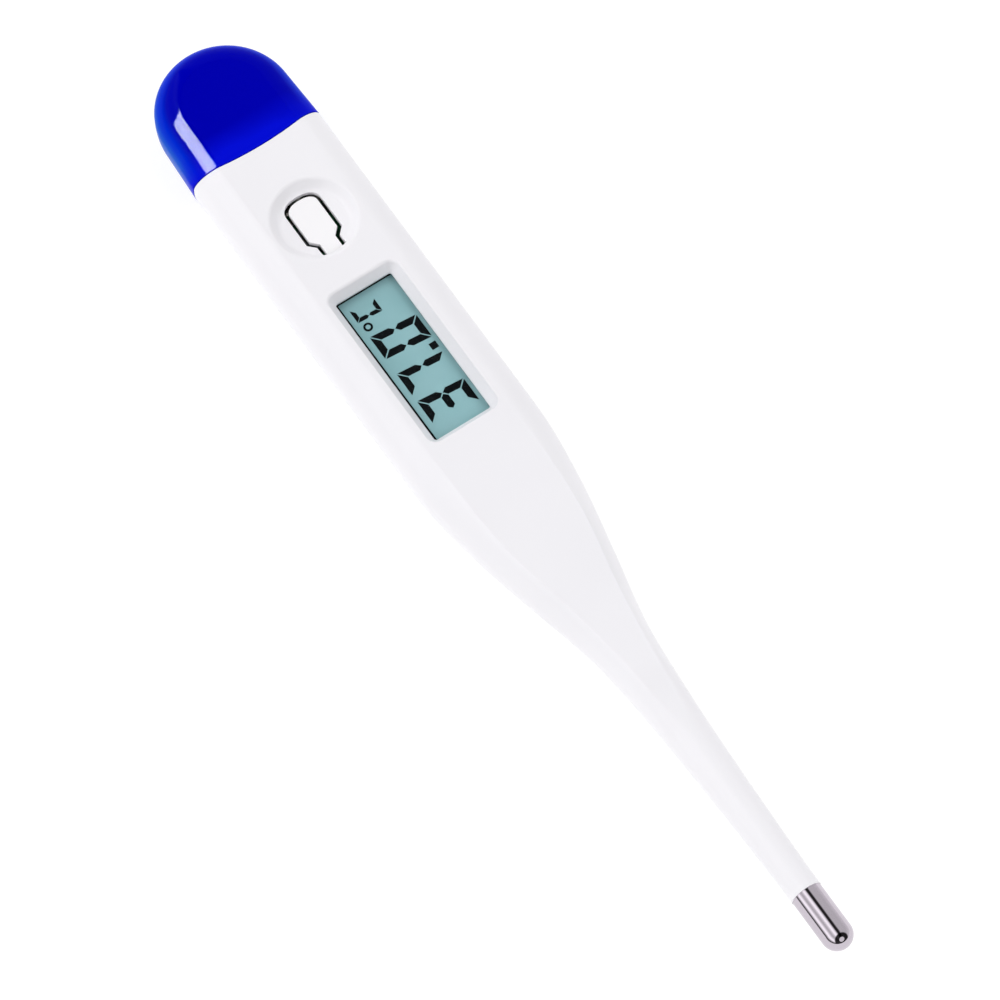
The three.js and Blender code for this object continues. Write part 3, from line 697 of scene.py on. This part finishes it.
def display_window():
    """A flange under the wall, and on it a pane that fills the opening with a hair of play."""
    lip, play = 2, 0.06
    edge = rounded_rectangle(DISPLAY_X, VIEW_LENGTH + lip, VIEW_WIDTH + lip, 0.4)
    pane = rounded_rectangle(DISPLAY_X, VIEW_LENGTH - play, VIEW_WIDTH - play, VIEW_CORNER)
    flange = slab("window_pane", edge, WINDOW_LOW, TONGUE_LOW - 0.1)
    lift = slab("lift", pane, WINDOW_LOW + 0.1, WINDOW_TOP)
    boolean(flange, "UNION", lift)
    round_edges(flange, 0.04, 40, 2)
    smooth(flange, 30)
    return finished(flange, "housing", "clear_window", ["display_window"])


# ---- Display ----

SEGMENTS = {"0": "abcdef", "3": "abcdg", "7": "abc", "C": "adef"}


def segment_shapes(width, height, thick, gap):
    """The seven bars of a digit, each an outline in the digit's own width and height."""
    w, h, t, g = width, height, thick, gap
    m = h / 2
    top = [(g, h), (w - g, h), (w - t - g, h - t), (t + g, h - t)]
    upper_left = [(0, h - g), (t, h - t - g), (t, m + t / 2 + g / 2), (t / 2, m + g / 2), (0, m + t * 0.7)]
    middle = [
        (t * 0.6 + g, m), (t + g, m + t / 2), (w - t - g, m + t / 2),
        (w - t * 0.6 - g, m), (w - t - g, m - t / 2), (t + g, m - t / 2),
    ]
    return {
        "a": top,
        "b": [(w - u, v) for u, v in upper_left],
        "c": [(w - u, h - v) for u, v in upper_left],
        "d": [(u, h - v) for u, v in top],
        "e": [(u, h - v) for u, v in upper_left],
        "f": upper_left,
        "g": middle,
    }


def digits_and_painted_shadow():
    """37.0 degrees C, read from the tip towards the cap, as thin dark bars on the film, plus two painted shadow
    strips.
    """
    corner_x = DISPLAY_X - 9.73
    corner_y = -3.5
    low, high = FILM_TOP - 0.01, FILM_TOP + 0.012
    outlines = []

    def write(sign, x, y, width, height, thick, gap, lean):
        shapes = segment_shapes(width, height, thick, gap)
        for bar in SEGMENTS[sign]:
            outlines.append([(corner_x + x - u - lean * v / height, corner_y + y - v) for u, v in shapes[bar]])

    for sign, x in (("3", 17.98), ("7", 13.94), ("0", 8.53)):
        write(sign, x, 6.895, 3.25, 5.88, 0.87, 0.10, 0.5)
    write("C", 2.82, 4.09, 1.8, 3.15, 0.5, 0.05, 0.2)
    dot = 0.44  # half the decimal point's side
    point = [(-dot, -dot), (dot, -dot), (dot, dot), (-dot, dot)]
    outlines.append([(corner_x + 9.56 + u, corner_y + 6.42 + v) for u, v in point])
    # Painted shadow: dark ink strips on the film along its near side and across its cap end, where the recess's walls
    # shade it
    left, right, edge = DISPLAY_X - 10.4, DISPLAY_X + 10, -3.27
    outlines.append([(left, -3.9), (right, -3.9), (right, edge + 0.06), (left, edge)])
    outlines.append([(left, edge), (left + 0.31, edge), (left + 0.31, 3.9), (left, 3.9)])
    points, faces = [], []
    for outline in outlines:
        start, count = len(points), len(outline)
        points += [(x, y, low) for x, y in outline] + [(x, y, high) for x, y in outline]
        faces.append(tuple(range(start, start + count)))
        faces.append(tuple(range(start + count, start + 2 * count)))
        for i in range(count):
            j = (i + 1) % count
            faces.append((start + i, start + j, start + count + j, start + count + i))
    digits = build("digits_and_painted_shadow", points, faces)
    ring_x, ring_y = corner_x + 3.62, corner_y + 1.61
    degree = turned(
        "display_degree", [(0.29, low), (0.55, low), (0.55, high), (0.29, high), (0.29, low)], ring_x, ring_y, 40
    )
    for piece in (digits, degree):
        finished(piece, "chassis", "display_film", material="ink")


def display_panel():
    """The film over the glass, with slightly rounded edges."""
    low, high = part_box("lcd_polariser")
    length, width = (high.x - low.x) / MM, (high.y - low.y) / MM
    film = slab("display_film", rounded_rectangle(DISPLAY_X, length, width, 0.35), FILM_LOW, FILM_TOP)
    round_edges(film, 0.04, 40, 2)
    smooth(film, 30)
    finished(film, "chassis", "display_film", ["lcd_polariser"])


# ---- Cap and seal ----

def plug_section():
    """The cap's plug, with its play in the housing."""
    return shrunk(hollow_section(SPLIT_X), 0.15)


def battery_cap():
    """The hollow cap with its plug and the seal's groove."""
    hollow_outline = {**shrunk(plug_section(), 0.68), "sole": 4}
    outer = {**outer_section(SPLIT_X), "half": CAP_HALF}
    cap = cap_form("battery_cap_shell", outer, SPLIT_X + 1, CAP_ARC_X / CAP_HALF)
    plug = prism("plug", plug_section(), SPLIT_X - 2, PLUG_END)
    hollow = cap_form("cap_hollow", hollow_outline, PLUG_END + 1)
    seal_low, seal_high = span("cap_seal", 0)
    near, far = seal_low - 0.1, seal_high + 0.1
    groove = slab("groove", [(near, -9), (far, -9), (far, 9), (near, 9)], -1, 11)
    core = prism("core", shrunk(plug_section(), 0.4), seal_low - 1, seal_high + 1)
    boolean(groove, "DIFFERENCE", core)
    boolean(cap, "INTERSECT", cap_side(SEAM_GAP))
    boolean(cap, "UNION", plug)
    boolean(cap, "DIFFERENCE", hollow, groove)
    round_edges(cap, 0.08, 40, 3, on_seam(SEAM_GAP))
    smooth(cap, 30)
    return finished(cap, "cap", "blue_plastic", ["battery_cap"])


def cap_seal():
    """A ring round the plug, with a rounded outside."""
    low, high = span("cap_seal", 0)
    section = plug_section()
    middle, steps = (low + high) / 2, 12
    rings = []
    for i in range(steps + 1):
        angle = math.pi * (i / steps - 0.5)
        x = middle + (high - low) / 2 * math.sin(angle)
        rings.append(ring_at(x, shrunk(section, 0.2 - 0.3 * math.cos(angle))))
    seal = loft("cap_seal_ring", rings)
    boolean(seal, "DIFFERENCE", prism("seal_hole", shrunk(section, 0.3), low - 1, high + 1))
    smooth(seal, 40)
    return finished(seal, "cap", "seal_rubber", ["cap_seal"])


# ---- Probe tip and sensor ----

def probe_tip():
    """A drawn steel sleeve: a small lead-in where it meets the plastic, and a full round end."""
    nose = TIP_END - TIP_RADIUS
    inner = TIP_RADIUS - 0.2
    start = TIP_START - 0.04
    arc = [i / 24 * math.pi / 2 for i in range(1, 25)]
    outside = [
        (TIP_RADIUS - 0.06, start), (TIP_RADIUS - 0.02, start + 0.02), (TIP_RADIUS, start + 0.07), (TIP_RADIUS, nose),
    ]
    outside += [(TIP_RADIUS * math.cos(a), nose + TIP_RADIUS * math.sin(a)) for a in arc]
    inside = [(inner, start), (inner, nose)] + [(inner * math.cos(a), nose + inner * math.sin(a)) for a in arc]
    tip = turned_along("probe_tip_sleeve", outside + inside[::-1] + outside[:1], 128)
    smooth(tip, 40)
    return finished(tip, "housing", "steel_tip", ["probe_tip"])


def lead_wire(name, side, slot, node):
    """A sensor lead: from its solder joint, in slack bends behind the board, then straight up the probe."""
    radius = 0.22
    lift = 0.34 * side
    low, high = span(node, 0)
    slack_start, slack_end = 61.4, 74
    route = [(low + 0.02, 1.2 * side, 5.05), (low + 1, 1.1 * side, 5.1)]
    for x in stations(slack_start, slack_end, 24):
        t = (x - slack_start) / (slack_end - slack_start)
        swing = 2.3 * math.sin(math.pi * t) ** 0.5 if 0 < t < 1 else 0
        route.append((x, swing * math.sin(4 * math.pi * t), 5.4 + lift + 1.1 * t))
    route += [(78, 0, AXIS_Z + lift), (100, 0, AXIS_Z + lift), (high - 0.02, 0, AXIS_Z + lift * 0.8)]
    line = bpy.data.curves.new(name, "CURVE")
    line.dimensions = "3D"
    spline = line.splines.new("BEZIER")
    spline.bezier_points.add(len(route) - 1)
    for point, co in zip(spline.bezier_points, route):
        point.co = place(*co)
        point.handle_left_type = point.handle_right_type = "AUTO"
    line.bevel_depth = radius * MM
    line.bevel_resolution = 4
    line.use_fill_caps = True
    line.resolution_u = 8
    drawn = bpy.data.objects.new(name + "_line", line)
    bpy.context.scene.collection.objects.link(drawn)
    mesh = bpy.data.meshes.new_from_object(drawn.evaluated_get(bpy.context.evaluated_depsgraph_get()))
    bpy.data.objects.remove(drawn)
    wire = bpy.data.objects.new(name, mesh)
    bpy.context.scene.collection.objects.link(wire)
    work = bmesh.new()
    work.from_mesh(mesh)
    bmesh.ops.remove_doubles(work, verts=work.verts, dist=1e-7)
    work.to_mesh(mesh)
    work.free()
    smooth(wire, 60)
    wire.data.materials.clear()
    wire.data.materials.append(MATERIALS[slot])
    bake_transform(wire)
    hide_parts(node)
    return wire


# ---- Inner parts that keep their CAD shape ----

def dress_inner_nodes():
    """Each CAD node that still shows gets its slot's material, softened edges and smooth round faces."""
    slots = {part["node"]: part["material_slot"] for part in frame["record"]["subparts"]}
    for name, node in frame["nodes"].items():
        if node.hide_render:
            continue
        node.data.materials.clear()
        node.data.materials.append(MATERIALS[slots[name]])
        low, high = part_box(name)
        thinnest = min(high - low)
        soft = node.modifiers.new("soft_edges", "BEVEL")
        soft.width = min(0.08 * MM, thinnest * 0.2)
        soft.segments = 2
        soft.limit_method = "ANGLE"
        soft.angle_limit = math.radians(35)
        soft.harden_normals = True
        node.data.polygons.foreach_set("use_smooth", [True] * len(node.data.polygons))
        node.data.set_sharp_from_angle(angle=math.radians(35))


# ---- Stage ----

# The studio's walls as rings round the stick's long axis: degrees from straight up towards +Y, and their brightness
WORLD = 1.75
STUDIO = [
    (-180, 1.0), (-95, 0.9), (-89, 0.15), (-81, 0.15), (-67, 1.7), (-60, 1.6), (-48, 0.8), (-40, 0.7), (-32, 1.0),
    (-22, 1.7), (-13, 1.4), (-3, 0.03), (11, 0.02), (19, 0.74), (60, 0.73), (90, 0.95), (180, 1.0),
]
# A dark round patch of wall with a small bright middle, which the steel tip's nose reflects as a ring and a spot
NOSE_LIGHT = (0.90, 0.03, 0.43)
NOSE_PATCHES = [("MULTIPLY", [(0.66, 1.0), (0.74, 0.03)]), ("ADD", [(0.950, 0.0), (0.965, 0.55)])]


def stage(cap):
    """A white floor and walls, soft light, and a narrow softbox whose reflection only the cap shows."""
    floor_mesh = bpy.data.meshes.new("floor")
    reach = 1.5
    corners = [(-reach, -reach, 0), (reach, -reach, 0), (reach, reach, 0), (-reach, reach, 0)]
    floor_mesh.from_pydata(corners, [], [(0, 1, 2, 3)])
    floor = bpy.data.objects.new("floor", floor_mesh)
    floor.location.z = cad_bounds[0][2] - 0.00002
    bpy.context.scene.collection.objects.link(floor)
    n = Nodes("floor_white")
    n.set(Roughness=0.9, Emission_Strength=0.76, Emission_Color=(1, 1, 1, 1))
    n.color(n.noise(4, 2), (0.34, 0.34, 0.34), (0.36, 0.36, 0.36))
    floor.data.materials.append(n.material)

    world = bpy.data.worlds.new("studio")
    bpy.context.scene.world = world
    world.use_nodes = True
    tree = world.node_tree
    background = tree.nodes["Background"]
    background.inputs["Strength"].default_value = WORLD

    def node(kind, **values):
        made = tree.nodes.new(kind)
        for key, value in values.items():
            setattr(made, key, value)
        return made

    parts = node("ShaderNodeSeparateXYZ")
    direction = node("ShaderNodeTexCoord").outputs["Generated"]
    tree.links.new(direction, parts.inputs["Vector"])
    turn = node("ShaderNodeMath", operation="ARCTAN2")
    tree.links.new(parts.outputs["Y"], turn.inputs[0])
    tree.links.new(parts.outputs["Z"], turn.inputs[1])
    spread = node("ShaderNodeMapRange")
    spread.inputs["From Min"].default_value = math.radians(-180)
    spread.inputs["From Max"].default_value = math.radians(180)
    tree.links.new(turn.outputs["Value"], spread.inputs["Value"])
    ramp = node("ShaderNodeValToRGB")
    set_stops(ramp, [((180 + angle) / 360, [level / WORLD] * 3) for angle, level in STUDIO])
    tree.links.new(spread.outputs["Result"], ramp.inputs["Fac"])
    toward = node("ShaderNodeVectorMath", operation="DOT_PRODUCT")
    toward.inputs[1].default_value = Vector(NOSE_LIGHT).normalized()
    tree.links.new(direction, toward.inputs[0])
    last = ramp.outputs["Color"]
    for operation, stops in NOSE_PATCHES:
        patch = node("ShaderNodeValToRGB")
        set_stops(patch, [(closeness, [level] * 3) for closeness, level in stops])
        tree.links.new(toward.outputs["Value"], patch.inputs["Fac"])
        both = node("ShaderNodeVectorMath", operation=operation)
        tree.links.new(last, both.inputs[0])
        tree.links.new(patch.outputs["Color"], both.inputs[1])
        last = both.outputs["Vector"]
    tree.links.new(last, background.inputs["Color"])

    def softbox(name, toward_it, distance, width, height, power, aim_x=0, glossy=False):
        """A rectangular light, aimed at a place on the X axis. A glossy one shows in reflections alone."""
        light = bpy.data.lights.new(name, "AREA")
        light.shape = "RECTANGLE"
        light.size, light.size_y = width, height
        light.energy = power
        holder = bpy.data.objects.new(name, light)
        away = Vector(toward_it).normalized()
        holder.location = away * distance + Vector((aim_x * MM, 0, 0))
        across = (Vector((1, 0, 0)) - away * away.x).normalized()
        holder.rotation_euler = Matrix((across, away.cross(across), away)).transposed().to_euler()
        holder.visible_diffuse = not glossy
        holder.visible_glossy = glossy
        holder.visible_camera = False
        bpy.context.scene.collection.objects.link(holder)
        return holder

    softbox("key", (-0.55, -0.45, 0.85), 1.2, 0.7, 0.7, 2.9)
    softbox("fill", (0.45, 0.40, 0.80), 1.2, 0.8, 0.8, 3.9)
    streak = softbox("streak", (-0.343, -0.47, 0.813), 0.2, 0.05, 0.16, 5.6, aim_x=-75.5, glossy=True)
    lit = bpy.data.collections.new("lit_by_streak")
    lit.objects.link(cap)
    streak.light_linking.receiver_collection = lit


def camera():
    """A long lens, so the stick shows almost no perspective."""
    azimuth, elevation = math.radians(56.02), math.radians(65.5)
    lens, sensor = 350, 36
    field = 110.3 * MM
    middle = (Vector(cad_bounds[0]) + Vector(cad_bounds[1])) / 2
    target = Vector((middle.x - 0.11 * MM, middle.y - 1.235 * MM, 6.1 * MM))
    away = Vector((
        math.cos(elevation) * math.sin(azimuth), -math.cos(elevation) * math.cos(azimuth), math.sin(elevation),
    ))
    eye = bpy.data.cameras.new("camera")
    eye.lens = lens
    eye.sensor_width = sensor
    eye.clip_start = 0.05
    holder = bpy.data.objects.new("camera", eye)
    holder.location = target + away * (lens * field / sensor)
    holder.rotation_euler = away.to_track_quat("Z", "Y").to_euler()
    bpy.context.scene.collection.objects.link(holder)
    bpy.context.scene.camera = holder


camera()
bpy.context.scene.view_settings.view_transform = "Standard"
housing_shell()
power_button()
display_window()
display_panel()
digits_and_painted_shadow()
stage(battery_cap())
cap_seal()
probe_tip()
lead_wire("sensor_lead_1", 1, "red_insulation", "lead_wire_1")
lead_wire("sensor_lead_2", -1, "white_insulation", "lead_wire_2")
dress_inner_nodes()
